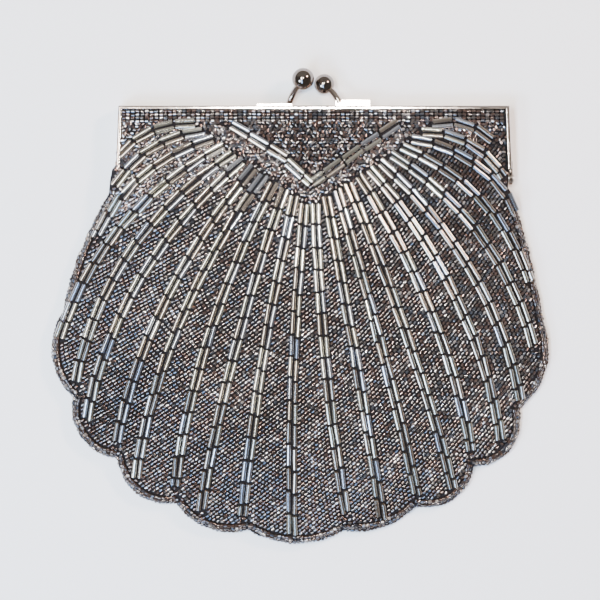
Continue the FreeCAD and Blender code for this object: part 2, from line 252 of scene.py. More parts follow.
def make_bead_tint():
    tree, come, go = new_group(
        "bead_tint",
        [("Main", "NodeSocketColor", (0.2, 0.2, 0.2, 1)),
         ("Brown", "NodeSocketColor", (0.2, 0.12, 0.08, 1)),
         ("Blue", "NodeSocketColor", (0.12, 0.14, 0.2, 1)),
         ("Pale", "NodeSocketColor", (0.5, 0.48, 0.46, 1))],
        [("Colour", "NodeSocketColor"), ("Roughness", "NodeSocketFloat")])
    own = tree.nodes.new("ShaderNodeAttribute")
    own.attribute_name = "tint"
    place = tree.nodes.new("ShaderNodeTexCoord")
    patch = tree.nodes.new("ShaderNodeTexNoise")
    patch.inputs["Scale"].default_value = 45.0
    tree.links.new(place.outputs["Object"], patch.inputs["Vector"])
    own_value = own.outputs["Fac"]
    brown_part = math_node(tree, "LESS_THAN", own_value, BROWN_BELOW)
    blue_part = math_node(tree, "GREATER_THAN", own_value, BLUE_ABOVE)
    pale_part = math_node(tree, "GREATER_THAN", own_value, PALE_ABOVE)
    colour = mix_colour(tree, brown_part, come.outputs["Main"], come.outputs["Brown"])
    colour = mix_colour(tree, blue_part, colour, come.outputs["Blue"])
    colour = mix_colour(tree, pale_part, colour, come.outputs["Pale"])
    shade = tree.nodes.new("ShaderNodeMapRange")
    tree.links.new(patch.outputs["Fac"], shade.inputs["Value"])
    shade.inputs["From Min"].default_value = 0.3
    shade.inputs["From Max"].default_value = 0.7
    shade.inputs["To Min"].default_value = 0.75
    shade.inputs["To Max"].default_value = 1.2
    colour = mix_colour(tree, 1.0, colour, shade.outputs[0], "MULTIPLY")
    tree.links.new(colour, go.inputs["Colour"])
    fraction = math_node(tree, "FRACT", math_node(tree, "MULTIPLY", own_value, 17.0))
    roughness = math_node(tree, "MULTIPLY_ADD", fraction, ROUGHNESS_SPREAD, LEAST_ROUGHNESS)
    tree.links.new(roughness, go.inputs["Roughness"])
    return tree


bead_tint = make_bead_tint()
print("groups:", [g.name for g in bpy.data.node_groups])


# %% Materials that use the groups
def principled(name, **values):
    """A new material and its Principled BSDF, with plain values set on its sockets."""
    material = bpy.data.materials.new(name)
    material.use_nodes = True
    shader = material.node_tree.nodes["Principled BSDF"]
    for label, value in values.items():
        shader.inputs[label.replace("_", " ")].default_value = value
    return material, shader


def use_group(material, group, **values):
    """Place a group in a material, with its own values."""
    node = material.node_tree.nodes.new("ShaderNodeGroup")
    node.node_tree = group
    for label, value in values.items():
        node.inputs[label].default_value = value
    return node


def add_bump(material, shader, height, strength, distance):
    bump = material.node_tree.nodes.new("ShaderNodeBump")
    bump.inputs["Strength"].default_value = strength
    bump.inputs["Distance"].default_value = distance
    material.node_tree.links.new(height, bump.inputs["Height"])
    material.node_tree.links.new(bump.outputs[0], shader.inputs["Normal"])


def metal(name, clean, worn, low, high, scale=900.0):
    material, shader = principled(name, Metallic=1.0)
    group = use_group(material, scratches, Clean=clean, Worn=worn, Low=low, High=high, Scale=scale)
    material.node_tree.links.new(group.outputs["Colour"], shader.inputs["Base Color"])
    material.node_tree.links.new(group.outputs["Roughness"], shader.inputs["Roughness"])
    add_bump(material, shader, group.outputs["Height"], 0.15, 0.00005)
    return material


def cloth(name, light, dark, threads, roughness=0.8, **extra):
    material, shader = principled(name, Roughness=roughness, **extra)
    group = use_group(material, weave, Light=light, Dark=dark, Threads=threads)
    material.node_tree.links.new(group.outputs["Colour"], shader.inputs["Base Color"])
    add_bump(material, shader, group.outputs["Height"], 0.5, 0.0001)
    return material


def glass_bead(name, main, brown, blue, pale, metallic, coat):
    material, shader = principled(name, Metallic=metallic, Coat_Weight=coat, Coat_Roughness=0.05)
    group = use_group(material, bead_tint, Main=main, Brown=brown, Blue=blue, Pale=pale)
    material.node_tree.links.new(group.outputs["Colour"], shader.inputs["Base Color"])
    material.node_tree.links.new(group.outputs["Roughness"], shader.inputs["Roughness"])
    return material


NICKEL = metal("nickel_plate", (0.52, 0.45, 0.41, 1), (0.33, 0.26, 0.22, 1), 0.05, 0.15)
# The clasp balls are polished nickel with a much darker base colour: painted shade that dims the bright floor
# they mirror.
SHADED_BALL_NICKEL = metal("polished_ball_painted_shade", (0.22, 0.195, 0.178, 1), (0.17, 0.135, 0.115, 1), 0.05, 0.14, 600.0)
RIVET_METAL = metal("rivet_metal", (0.62, 0.6, 0.58, 1), (0.4, 0.35, 0.3, 1), 0.25, 0.45)
GROUND = cloth("ground_silk", (0.012, 0.010, 0.011, 1), (0.004, 0.004, 0.004, 1), 4200.0, 0.9,
               Specular_IOR_Level=0.15)
STIFFENER = cloth("buckram", (0.62, 0.58, 0.5, 1), (0.45, 0.4, 0.33, 1), 2600.0)
SATIN = cloth("grey_satin", (0.30, 0.285, 0.29, 1), (0.17, 0.16, 0.165, 1), 5200.0, 0.38,
              Sheen_Weight=0.3)
PAPER = cloth("paper_cord", (0.66, 0.58, 0.44, 1), (0.4, 0.33, 0.23, 1), 2000.0)
SEED = glass_bead("gunmetal_seed", (0.122, 0.111, 0.105, 1), (0.130, 0.093, 0.080, 1),
                  (0.103, 0.111, 0.125, 1), (0.42, 0.39, 0.37, 1), 0.84, 0.5)
# The edge seeds are darker than the field seeds: partly their own brown, partly painted shade so they do not
# mirror the bright floor.
SHADED_EDGE_SEED = glass_bead("edge_seed_painted_shade", (0.047, 0.036, 0.031, 1), (0.055, 0.035, 0.027, 1),
                       (0.036, 0.036, 0.041, 1), (0.24, 0.21, 0.185, 1), 0.55, 0.4)
BUGLE = glass_bead("silver_lined_bugle", (0.345, 0.335, 0.28, 1), (0.265, 0.23, 0.19, 1),
                   (0.285, 0.30, 0.325, 1), (0.50, 0.48, 0.43, 1), 0.88, 0.8)
print("materials:", len(bpy.data.materials))

# %% Floor
floor_mesh = bpy.data.meshes.new("floor")
shape = bmesh.new()
bmesh.ops.create_grid(shape, x_segments=1, y_segments=1, size=3.0)
shape.to_mesh(floor_mesh)
shape.free()
floor = bpy.data.objects.new("floor", floor_mesh)
bpy.context.scene.collection.objects.link(floor)
floor_paint, _ = principled("pale_floor", Base_Color=(0.84, 0.855, 0.86, 1), Roughness=0.9)
floor_mesh.materials.append(floor_paint)
print("floor", floor.dimensions[:2])

# %% [markdown]
# ## The pouch's outline
#
# The bottom of the bag follows one circle. Eight notches lie on it, and a shallow arc
# swells out between each two, like the edge of a shell. Above them, an arc on each side
# runs in to the ends of the frame's arms.

# %% Outline, in millimetres
POUCH_CENTRE = (0.0, 9.5)
NOTCH_RADIUS = 92.0
NOTCH_ANGLES = (-62.3, -45.6, -28.9, -11.7, 9.9, 27.2, 43.0, 59.3)
SCALLOP_DEPTHS = (5.2, 5.0, 3.6, 3.2, 2.2, 4.8, 5.7)
LEFT_SIDE = ((-68.9, 40.0), (-78.4, 21.0), (-85.4, -2.2), (-88.9, -20.0))
RIGHT_SIDE = ((76.9, 40.0), (83.6, 16.0), (88.5, -7.0), (88.2, -25.0))
LEFT_NECK = ((-64.6, 70.9), (-65.3, 52.0), (-67.5, 48.9), (-68.2, 44.5))
RIGHT_NECK = ((75.2, 42.5), (75.5, 48.0), (75.0, 70.9))


def polar(angle, radius):
    turn = math.radians(angle)
    return (POUCH_CENTRE[0] + radius * math.sin(turn), POUCH_CENTRE[1] - radius * math.cos(turn))


def arc_through(a, b, c, count):
    """Points along the arc from a through b to c, without the last one."""
    (ax, ay), (bx, by), (cx, cy) = a, b, c
    d = 2 * (ax * (by - cy) + bx * (cy - ay) + cx * (ay - by))
    a2, b2, c2 = ax * ax + ay * ay, bx * bx + by * by, cx * cx + cy * cy
    ux = (a2 * (by - cy) + b2 * (cy - ay) + c2 * (ay - by)) / d
    uy = (a2 * (cx - bx) + b2 * (ax - cx) + c2 * (bx - ax)) / d
    start = math.atan2(ay - uy, ax - ux)
    middle = math.atan2(by - uy, bx - ux)
    end = math.atan2(cy - uy, cx - ux)
    way = 1 if (middle - start) % math.tau < (end - start) % math.tau else -1
    sweep = way * ((way * (end - start)) % math.tau)
    radius = math.hypot(ax - ux, ay - uy)
    return [(ux + radius * math.cos(start + sweep * k / count),
             uy + radius * math.sin(start + sweep * k / count)) for k in range(count)]


def scalloped_edge():
    """The free edge, from the left end of the fold round the bottom to the right end."""
    notches = [polar(a, NOTCH_RADIUS) for a in NOTCH_ANGLES]
    edge = arc_through(*LEFT_SIDE[:3], 24) + arc_through(LEFT_SIDE[2], LEFT_SIDE[3], notches[0], 16)
    for k, depth in enumerate(SCALLOP_DEPTHS):
        middle = 0.5 * (NOTCH_ANGLES[k] + NOTCH_ANGLES[k + 1])
        edge += arc_through(notches[k], polar(middle, NOTCH_RADIUS + depth), notches[k + 1], 16)
    edge += arc_through(notches[-1], RIGHT_SIDE[3], RIGHT_SIDE[2], 16)
    return edge + arc_through(RIGHT_SIDE[2], RIGHT_SIDE[1], RIGHT_SIDE[0], 24) + [RIGHT_SIDE[0]]


free_edge = scalloped_edge()
front_outline = list(LEFT_NECK) + free_edge + list(RIGHT_NECK)
print("outline points:", len(front_outline))

# %% [markdown]
# ## The puffed front
#
# The front starts as one flat face with the outline's shape. Cutting it along many lines
# gives it an even grid, then the grid is lifted to the pouch's full depth and smoothed
# while its edge stays on the seam. Smoothing rounds it off the way slack cloth over a soft
# filling does, and a little noise makes it look handled.

# %% Build the grid and let it relax
GRID = 2.4
PUFF = 13.4
SEAM_Z = 3.4
FRAME_Z = 7.2
RELAX_ROUNDS = 260
RISE_FROM_Y = 30.0
RISE_LENGTH = 14.0
LEFT_EAR_X = -66
LEFT_EAR_Y = (43, 50)
EAR_LIFT = 1.2
LAYER_FLOOR_Z = 2.6


def edge_height(x, y):
    """How high the front's edge lies: low at the seam, higher where the frame holds it."""
    lift = min(max((y - RISE_FROM_Y) / RISE_LENGTH, 0.0), 1.0)
    lift = lift * lift * (3 - 2 * lift)
    over_left_ear = EAR_LIFT if x < LEFT_EAR_X and LEFT_EAR_Y[0] < y < LEFT_EAR_Y[1] else 0.0
    return SEAM_Z + (FRAME_Z - SEAM_Z) * lift + over_left_ear


def cut_into_grid(sheet, low, high):
    """Cut a flat sheet along evenly spaced lines both ways."""
    for axis in (0, 1):
        count = int((high[axis] - low[axis]) / GRID)
        for k in range(1, count + 1):
            at = Vector((0, 0, 0))
            at[axis] = (low[axis] + k * GRID) * MM
            across = Vector((0, 0, 0))
            across[axis] = 1.0
            bmesh.ops.bisect_plane(sheet, geom=sheet.faces[:] + sheet.edges[:] + sheet.verts[:],
                                   plane_co=at, plane_no=across, dist=1e-7)


def flat_sheet(outline):
    sheet = bmesh.new()
    sheet.faces.new([sheet.verts.new((x * MM, y * MM, 0)) for x, y in outline])
    xs, ys = [p[0] for p in outline], [p[1] for p in outline]
    cut_into_grid(sheet, (min(xs), min(ys)), (max(xs), max(ys)))
    bmesh.ops.recalc_face_normals(sheet, faces=sheet.faces)
    if sheet.faces[:] and sheet.faces[:][0].normal.z < 0:
        bmesh.ops.reverse_faces(sheet, faces=sheet.faces)
    return sheet


def relaxed_front():
    sheet = flat_sheet(front_outline)
    inner = [v for v in sheet.verts if not v.is_boundary]
    for v in sheet.verts:
        v.co.z = (edge_height(v.co.x / MM, v.co.y / MM) if v.is_boundary else PUFF) * MM
    for _ in range(RELAX_ROUNDS):
        bmesh.ops.smooth_vert(sheet, verts=inner, factor=0.5, use_axis_z=True)
    for v in inner:
        v.co.z += 0.35 * MM * noise.noise(Vector((v.co.x, v.co.y, 0.3)) * 38.0)
    return sheet


front_sheet = relaxed_front()
front_tree = BVHTree.FromBMesh(front_sheet)
front_top = max(v.co.z for v in front_sheet.verts)
print("front grid:", len(front_sheet.verts), "points, highest", round(front_top / MM, 1), "mm")


# %% Make a sheet of cloth from the grid
def link_piece(name, mesh, material, smooth=True):
    """A new object that is one piece of the bag."""
    thing = bpy.data.objects.new(name, mesh)
    bpy.context.scene.collection.objects.link(thing)
    mesh.materials.clear()
    mesh.materials.append(material)
    if smooth:
        mesh.shade_smooth()
    return thing


def thicken(thing, thickness):
    """Give a sheet its thickness, downwards, and keep the result."""
    modifier = thing.modifiers.new("thickness", "SOLIDIFY")
    modifier.thickness = thickness * MM
    modifier.offset = -1.0
    graph = bpy.context.evaluated_depsgraph_get()
    mesh = bpy.data.meshes.new_from_object(thing.evaluated_get(graph))
    thing.modifiers.clear()
    thing.data = mesh


def front_layer(name, down, thickness, material):
    """One layer of the front: the grid, let down a little and kept off the back layers."""
    layer = front_sheet.copy()
    for v in layer.verts:
        v.co.z = max(v.co.z - down * MM, LAYER_FLOOR_Z * MM)
    mesh = bpy.data.meshes.new(name)
    layer.to_mesh(mesh)
    layer.free()
    thing = link_piece(name, mesh, material)
    thicken(thing, thickness)
    return thing


def fold_with_frame(thing):
    """Bake the piece's placement into its mesh."""
    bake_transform(thing)


front_cloth = front_layer("front_ground_cloth", 0.0, 0.35, GROUND)
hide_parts("front_cloth_lower", "front_cloth_fold", "front_cloth_upper")
front_stiff = front_layer("front_buckram", 0.55, 0.3, STIFFENER)
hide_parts("front_interlining_lower", "front_interlining_upper")
front_satin = front_layer("front_satin_lining", 1.05, 0.25, SATIN)
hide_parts("front_lining_lower", "front_lining_fold", "front_lining_upper")
for layer in (front_cloth, front_stiff, front_satin):
    fold_with_frame(layer)
print("front layers:", front_cloth.name, front_stiff.name, front_satin.name)

# %% [markdown]
# ## The back
#
# The back lies flat, so its layers are flat sheets with the same outline. They reach up
# into the back half of the frame.

# %% Back layers
BACK_NECK_LEFT = ((-64.6, 70.4), (-65.2, 51.0), (-63.2, 50.5), (-63.2, 40.5))
BACK_NECK_RIGHT = ((73.6, 40.5), (73.6, 50.5), (75.6, 51.0), (75.0, 70.4))
back_outline = list(BACK_NECK_LEFT) + free_edge + list(BACK_NECK_RIGHT)


def back_layer(name, z, thickness, material, node):
    """One flat layer of the back, with its top at height z."""
    sheet = flat_sheet(back_outline)
    for v in sheet.verts:
        v.co.z = z * MM
    mesh = bpy.data.meshes.new(name)
    sheet.to_mesh(mesh)
    sheet.free()
    thing = link_piece(name, mesh, material)
    thicken(thing, thickness)
    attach(thing, "bag")
    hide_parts(node)
    return thing


back_cloth = back_layer("back_ground_cloth", 1.75, 0.35, GROUND, "back_cloth")
back_stiff = back_layer("back_buckram", 2.15, 0.3, STIFFENER, "back_interlining")
back_satin = back_layer("back_satin_lining", 2.5, 0.25, SATIN, "back_lining")
print("back layers:", back_cloth.name, back_stiff.name, back_satin.name)

# %% [markdown]
# ## One bead of each kind
#
# A seed bead is a short bit of glass tube with round ends and a bugle is a long one. Both
# are repeated thousands of times, so each has only a few dozen faces. The shading is smooth
# round the tube and breaks at the ends, so a highlight runs the whole length of a bead.

# %% Seed and bugle templates
SEED_LENGTH = 1.52
SEED_WIDTH = 1.16
BUGLE_LENGTH = 8.0
BUGLE_WIDTH = 1.78


def tube_template(name, around, rim, shrink):
    """A bit of glass tube along X, one unit long and one across, with rounded cut ends."""
    tube = bmesh.new()
    bmesh.ops.create_cone(tube, cap_ends=True, segments=around, radius1=0.5, radius2=0.5, depth=1.0)
    sides = [f for f in tube.faces if abs(f.normal.z) < 0.5]
    caps = [f for f in tube.faces if abs(f.normal.z) > 0.5]
    bmesh.ops.inset_region(tube, faces=caps, thickness=shrink, depth=0.0, use_even_offset=True)
    for v in tube.verts:
        if math.hypot(v.co.x, v.co.y) > 0.5 - shrink / 2:
            v.co.z = math.copysign(0.5 - rim, v.co.z)
    for edge in tube.edges:
        touching = [f in sides for f in edge.link_faces]
        edge.smooth = all(touching) or not any(touching)
    bmesh.ops.rotate(tube, verts=tube.verts, matrix=Matrix.Rotation(math.pi / 2, 3, "Y"))
    mesh = bpy.data.meshes.new(name)
    for face in tube.faces:
        face.smooth = True
    tube.to_mesh(mesh)
    tube.free()
    return bpy.data.objects.new(name, mesh)


SEED_BEAD = tube_template("seed_template", 8, 0.2, 0.17)
PLAIN_SEED = tube_template("plain_seed_template", 6, 0.2, 0.17)
BUGLE_BEAD = tube_template("bugle_template", 12, 0.03, 0.14)
templates = (SEED_BEAD, PLAIN_SEED, BUGLE_BEAD)
for template in templates:
    bpy.context.scene.collection.objects.link(template)
print("faces:", [len(t.data.polygons) for t in templates])

# %% [markdown]
# ## Sewing beads on
#
# Each bead is first only a point with a turn, a size and a tint. A geometry node group
# puts the template on every point, and its result is kept as an ordinary mesh. This is
# far quicker than copying the bead in a loop.


# %% The sewing node group
def make_sewing_group():
    tree = bpy.data.node_groups.new("sew_beads", "GeometryNodeTree")
    tree.interface.new_socket("Geometry", in_out="INPUT", socket_type="NodeSocketGeometry")
    tree.interface.new_socket("Bead", in_out="INPUT", socket_type="NodeSocketObject")
    tree.interface.new_socket("Geometry", in_out="OUTPUT", socket_type="NodeSocketGeometry")
    come, go = tree.nodes.new("NodeGroupInput"), tree.nodes.new("NodeGroupOutput")
    bead = tree.nodes.new("GeometryNodeObjectInfo")
    place = tree.nodes.new("GeometryNodeInstanceOnPoints")
    real = tree.nodes.new("GeometryNodeRealizeInstances")
    links = tree.links
    links.new(come.outputs["Bead"], bead.inputs["Object"])
    links.new(come.outputs["Geometry"], place.inputs["Points"])
    links.new(bead.outputs["Geometry"], place.inputs["Instance"])
    for label, socket in (("turn", "Rotation"), ("size", "Scale")):
        read = tree.nodes.new("GeometryNodeInputNamedAttribute")
        read.data_type = "FLOAT_VECTOR"
        read.inputs["Name"].default_value = label
        links.new(read.outputs["Attribute"], place.inputs[socket])
    links.new(place.outputs["Instances"], real.inputs["Geometry"])
    links.new(real.outputs["Geometry"], go.inputs["Geometry"])
    return tree


SEWING = make_sewing_group()


def sew(name, template, beads, material):
    """Make one piece from a list of beads, each (place, turn, size, tint)."""
    points = bpy.data.meshes.new(name + "_points")
    points.from_pydata([b[0] for b in beads], [], [])
    for label, kind, part in (("turn", "FLOAT_VECTOR", 1), ("size", "FLOAT_VECTOR", 2), ("tint", "FLOAT", 3)):
        values = points.attributes.new(label, kind, "POINT")
        flat = np.array([b[part] for b in beads], dtype=np.float32).ravel()
        values.data.foreach_set("vector" if kind == "FLOAT_VECTOR" else "value", flat)
    thing = bpy.data.objects.new(name, points)
    bpy.context.scene.collection.objects.link(thing)
    modifier = thing.modifiers.new("sew", "NODES")
    modifier.node_group = SEWING
    modifier["Socket_1"] = template
    graph = bpy.context.evaluated_depsgraph_get()
    mesh = bpy.data.meshes.new_from_object(thing.evaluated_get(graph))
    bpy.data.objects.remove(thing)
    for label in ("turn", "size"):
        if label in mesh.attributes:
            mesh.attributes.remove(mesh.attributes[label])
    mesh.name = name
    return link_piece(name, mesh, material, smooth=False)


def bead_at(x, y, direction, size, lift, tip=0.0):
    """One bead on the front at (x, y) in mm, lying along direction and tipped up by tip (radians)."""
    hit, normal, _, _ = front_tree.ray_cast(Vector((x * MM, y * MM, 0.06)), Vector((0, 0, -1)))
    if hit is None:
        return None
    along = Vector((math.cos(direction), math.sin(direction), 0))
    along = (along - normal * along.dot(normal)).normalized()
    side = normal.cross(along)
    along = (along + normal * tip).normalized()
    turn = Matrix((along, side, along.cross(side))).transposed().to_euler()
    place = hit + normal * lift * MM
    return (tuple(place), tuple(turn), tuple(s * MM for s in size), chance.random())


# %% [markdown]
# ## The rays
#
# The rays leave the lower edge of the V and fan out to the scallops and the sides. Each is
# a pair of columns of bugles, sewn end to end. RAYS holds each one's end and how far it
# bows to the right for its length.

# %% Ray paths, in millimetres
RAY_FAN = ((-37.0, 65.0), (3.8, 36.0), (47.0, 64.5))
RAYS = (((-65.0, 53.5), -0.125), ((-66.5, 42.5), -0.12), ((-73.5, 24.0), -0.11), ((-86.6, -12.0), -0.1),
        ((-81.0, -29.5), -0.105), ((-77.1, -43.1), -0.089), ((-65.8, -49.2), -0.063), ((-59.0, -62.4), -0.06),
        ((-44.7, -64.8), -0.044), ((-35.7, -75.6), -0.022), ((-20.5, -75.6), -0.016), ((-2.5, -83.7), -0.016),
        ((17.0, -76.8), -0.017), ((30.0, -77.4), 0.003), ((42.3, -68.4), 0.009), ((55.3, -66.0), 0.018),
        ((61.8, -52.2), 0.05), ((72.6, -48.6), 0.07), ((79.6, -34.1), 0.08), ((84.5, -16.0), 0.098),
        ((83.0, 8.5), 0.11), ((78.0, 33.5), 0.124), ((73.5, 46.0), 0.137), ((69.5, 58.7), 0.15))
COLUMN_GAP = 2.2
RAY_CLEAR = 2.0
RAY_STEPS = 24
BUGLE_LIFT = 0.92
BUGLE_END_GAP = 0.5
BUGLE_STEP = 0.12
SHORTEST_BUGLE = 2.5


def fan_point(t):
    """A point of the V that the rays start from."""
    a, b, c = RAY_FAN
    if t < 0.5:
        return tuple(p + (q - p) * t * 2 for p, q in zip(a, b))
    return tuple(p + (q - p) * (t * 2 - 1) for p, q in zip(b, c))


def ray_path(start, end, bow):
    """Points along one ray, with its bow at the middle."""
    (sx, sy), (ex, ey) = start, end
    path = []
    for step in range(RAY_STEPS + 1):
        t = step / RAY_STEPS
        push = bow * 4 * t * (1 - t)
        path.append((sx + (ex - sx) * t + push * (sy - ey), sy + (ey - sy) * t - push * (sx - ex)))
    return np.array(path)


rays = [ray_path(fan_point(k / (len(RAYS) - 1)), end, bow) for k, (end, bow) in enumerate(RAYS)]
print("rays:", len(rays))


# %% Bugles along a path
bugle_axis = []


def along_path(path, distance):
    """The point and heading at a distance along a path."""
    steps = np.hypot(*(path[1:] - path[:-1]).T)
    for k, step in enumerate(steps):
        if distance <= step or k == len(steps) - 1:
            a, b = path[k], path[k + 1]
            p = a + (b - a) * (distance / step)
            return p[0], p[1], math.atan2(b[1] - a[1], b[0] - a[0])
        distance -= step


def path_length(path):
    return float(np.hypot(*(path[1:] - path[:-1]).T).sum())


def bugle_columns(path):
    """Bugles end to end along both sides of a path. The last of each column may be short."""
    beads = []
    total = path_length(path)
    for column in (-0.5, 0.5):
        at = chance.uniform(0, 1.2)
        while at < total - SHORTEST_BUGLE:
            length = min(BUGLE_LENGTH * chance.uniform(0.93, 1.04), total - at)
            x, y, heading = along_path(path, at + length / 2)
            heading += chance.gauss(0, 0.02)
            shift = column * COLUMN_GAP + chance.gauss(0, 0.08)
            x -= math.sin(heading) * shift
            y += math.cos(heading) * shift
            width = BUGLE_WIDTH * chance.uniform(0.95, 1.04)
            size = (length - BUGLE_END_GAP, width, width)
            bead = bead_at(x, y, heading, size, BUGLE_LIFT, chance.gauss(0, 0.03))
            if bead:
                beads.append(bead)
                for part in np.linspace(-0.41, 0.41, 8):
                    reach = part * length
                    bugle_axis.append((x + reach * math.cos(heading), y + reach * math.sin(heading)))
            at += length + BUGLE_STEP
    return beads


CHEVRON = ((-25.5, 65.5), (-7.0, 53.9), (4.2, 43.5), (20.0, 54.6), (36.3, 65.9))
half = (len(rays) + 1) // 2
for label, group in (("left", rays[:half]), ("right", rays[half:])):
    beads = [bead for path in group for bead in bugle_columns(path)]
    piece = sew(f"bugle_rays_{label}", BUGLE_BEAD, beads, BUGLE)
    fold_with_frame(piece)
    if label == "left":
        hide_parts("bugle_rays_lower", "bugle_rays_fold", "bugle_rays_upper")
    print(piece.name, len(beads), "bugles")

v_left, v_right = np.array(CHEVRON[:3]), np.array(CHEVRON[:1:-1])
chevron = sew("chevron_of_bugles", BUGLE_BEAD, bugle_columns(v_left) + bugle_columns(v_right),
              BUGLE)
fold_with_frame(chevron)
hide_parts("chevron_bugles")
print("chevron:", len(chevron.data.vertices), "points")

# %% [markdown]
# ## Seed rows between the rays
#
# Between two rays the seeds lie in straight slanting rows. Every row is cut where it meets
# a ray or the edge, and its beads are spread evenly over what is left, as a beader does.

# %% Where a point lies
edge_array = np.array(front_outline)


def inside_outline(points):
    """Which points lie inside the front's outline."""
    x, y = points[:, 0], points[:, 1]
    inside = np.zeros(len(points), bool)
    a = edge_array
    b = np.roll(edge_array, -1, axis=0)
    for (ax, ay), (bx, by) in zip(a, b):
        crosses = (ay > y) != (by > y)
        if ay != by:
            inside ^= crosses & (x < (bx - ax) * (y - ay) / (by - ay) + ax)
    return inside


def distance_to_path(points, path):
    """How far each point is from a path, and on which side of it."""
    best = np.full(len(points), 1e9)
    side = np.zeros(len(points))
    for a, b in zip(path[:-1], path[1:]):
        d = b - a
        t = np.clip(((points - a) @ d) / (d @ d), 0, 1)
        away = points - (a + t[:, None] * d)
        far = np.hypot(away[:, 0], away[:, 1])
        closer = far < best
        best[closer] = far[closer]
        cross = d[0] * (points[:, 1] - a[1]) - d[1] * (points[:, 0] - a[0])
        side[closer] = np.sign(cross[closer])
    return best, side


closed_edge = np.vstack([edge_array, edge_array[:1]])
chevron_path = np.array(CHEVRON)
print("edge segments:", len(closed_edge) - 1)


def extended(path, start_by, end_by):
    """A path with straight stretches added at its two ends."""
    first = path[0] + (path[0] - path[1]) / np.hypot(*(path[0] - path[1])) * start_by
    last = path[-1] + (path[-1] - path[-2]) / np.hypot(*(path[-1] - path[-2])) * end_by
    return np.vstack([first, path, last])


# %% Fill one sector with rows
EDGE_CLEAR = 2.9
ROW_PITCH = 1.22
SEED_PITCH = 1.60
SEED_SIZE = (SEED_LENGTH, SEED_WIDTH, SEED_WIDTH)
SEED_LIFT = 0.62
SCAN_STEP = 0.3
HALF_WIDTH = 85
LEFT_SLANT = 22
SLANT_CHANGE = 36


def rows_of_seeds(allowed, low, high, slant):
    """Seeds in straight rows at one slant, wherever allowed(points) is true."""
    heading = np.array([math.cos(slant), math.sin(slant)])
    across = np.array([-heading[1], heading[0]])
    corners = np.array([(x, y) for x in (low[0], high[0]) for y in (low[1], high[1])])
    reach, rise = corners @ heading, corners @ across
    lengths = np.arange(reach.min(), reach.max(), SCAN_STEP)
    beads = []
    for row in np.arange(rise.min(), rise.max(), ROW_PITCH):
        points = lengths[:, None] * heading + row * across
        good = allowed(points)
        if not good.any():
            continue
        breaks = np.flatnonzero(np.diff(np.concatenate(([0], good.astype(int), [0]))))
        for first, last in zip(breaks[::2], breaks[1::2]):
            span = (last - first) * SCAN_STEP
            count = int(round(span / SEED_PITCH))
            if count < 1:
                continue
            for k in range(count):
                at = lengths[first] + span * (k + 0.5) / count
                x, y = at * heading + (row + chance.gauss(0, 0.05)) * across
                grow = chance.uniform(0.93, 1.07)
                size = tuple(v * grow for v in SEED_SIZE)
                bead = bead_at(x, y, slant + chance.gauss(0, 0.12), size, SEED_LIFT, chance.gauss(0, 0.10))
                if bead:
                    beads.append(bead)
    return beads


def fan_line_y(x):
    """The height of the V that the rays start from, at each x."""
    (ax, ay), (bx, by), (cx, cy) = RAY_FAN
    return np.where(x < bx, ay + (by - ay) * (x - ax) / (bx - ax), by + (cy - by) * (x - bx) / (cx - bx))


def sector_fill(k):
    """Seeds between ray k and the next one."""
    one, two = extended(rays[k], 6, 20), extended(rays[k + 1], 6, 20)

    def allowed(points):
        good = inside_outline(points)
        near = np.flatnonzero(good)
        if not len(near):
            return good
        some = points[near]
        s1, s2 = distance_to_path(some, one)[1], distance_to_path(some, two)[1]
        d1, d2 = distance_to_path(some, rays[k])[0], distance_to_path(some, rays[k + 1])[0]
        ok = (s1 > 0) & (s2 < 0) & (np.minimum(d1, d2) > RAY_CLEAR)
        keep = np.flatnonzero(ok)
        if len(keep):
            edge, _ = distance_to_path(some[keep], closed_edge)
            ok[keep] = edge > EDGE_CLEAR
        good[near] = ok
        return good

    both = np.vstack([one, two])
    middle_x = both[:, 0].mean()
    slant = math.radians(LEFT_SLANT + (middle_x + HALF_WIDTH) / (2 * HALF_WIDTH) * SLANT_CHANGE)
    return rows_of_seeds(allowed, both.min(axis=0), both.max(axis=0), slant)


seed_places = []
seed_count = 0
for k in range(len(rays) - 1):
    beads = sector_fill(k)
    if not beads:
        continue
    piece = sew(f"seed_field_{k + 1:02d}", SEED_BEAD, beads, SEED)
    fold_with_frame(piece)
    if seed_count == 0:
        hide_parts("seed_beads_lower", "seed_beads_fold")
    seed_count += len(beads)
    seed_places += beads
print("seeds between the rays:", seed_count)

# %% [markdown]
# ## Meandering seeds round the V
#
# Above the rays the seeds wander in short curls, which beaders call vermicelli. Points
# stand on a loosely shaken grid, and a slow noise turns each bead, so that neighbours
# line up into curls.

# %% Meandering fill
CHEVRON_CLEAR = 2.5
ROWS_BOTTOM_Y = 66.0
FAN_OVERLAP = 0.4
NEAR_RAY = 1.3
NEAR_EDGE = 0.9
MEANDER_PITCH = 1.36
MEANDER_SIZE = (1.5, 1.24, 1.24)
CURL_SCALE = 0.16
CURL = 7.0


def above_the_rays(points):
    """The space inside the frame that the rays and the straight rows leave."""
    good = inside_outline(points) & (points[:, 1] < ROWS_BOTTOM_Y)
    near = np.flatnonzero(good)
    some = points[near]
    first, last = extended(rays[0], 8, 8), extended(rays[-1], 8, 8)
    d0, s0 = distance_to_path(some, first)
    d1, s1 = distance_to_path(some, last)
    x, y = some[:, 0], some[:, 1]
    over_v = (x > RAY_FAN[0][0]) & (x < RAY_FAN[2][0]) & (y > fan_line_y(x) - FAN_OVERLAP)
    ok = over_v | ((s0 < 0) & (d0 > RAY_CLEAR)) | ((s1 > 0) & (d1 > RAY_CLEAR))
    ok &= distance_to_path(some, chevron_path)[0] > CHEVRON_CLEAR
    for path in rays:
        ok &= distance_to_path(some, path)[0] > NEAR_RAY
    ok &= distance_to_path(some, closed_edge)[0] > NEAR_EDGE
    good[near] = ok
    return good


